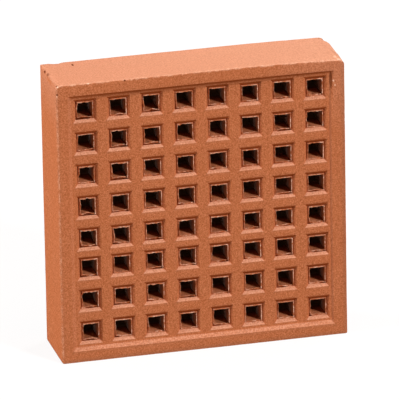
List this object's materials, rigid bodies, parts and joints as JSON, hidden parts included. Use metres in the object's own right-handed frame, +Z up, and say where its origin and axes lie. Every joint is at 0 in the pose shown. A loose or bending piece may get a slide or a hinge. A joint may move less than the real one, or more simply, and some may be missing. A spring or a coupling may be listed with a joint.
{
  "type": "clay air brick",
  "caption": "Square fired-clay ventilation brick with a raised rim, a sunk face and a grid of bevelled square holes that let air through a wall.",
  "frame": {"origin": "middle of the underside, as the brick stands on its long edge", "axes": "+Z up, +X along the face to the right, +Y from the face to the back"},
  "size_m": [0.215, 0.05, 0.215],
  "materials": {
    "fired_clay": "matte"
  },
  "bodies": {
    "root": {"air_brick": "fired_clay"}
  },
  "joints": []
}
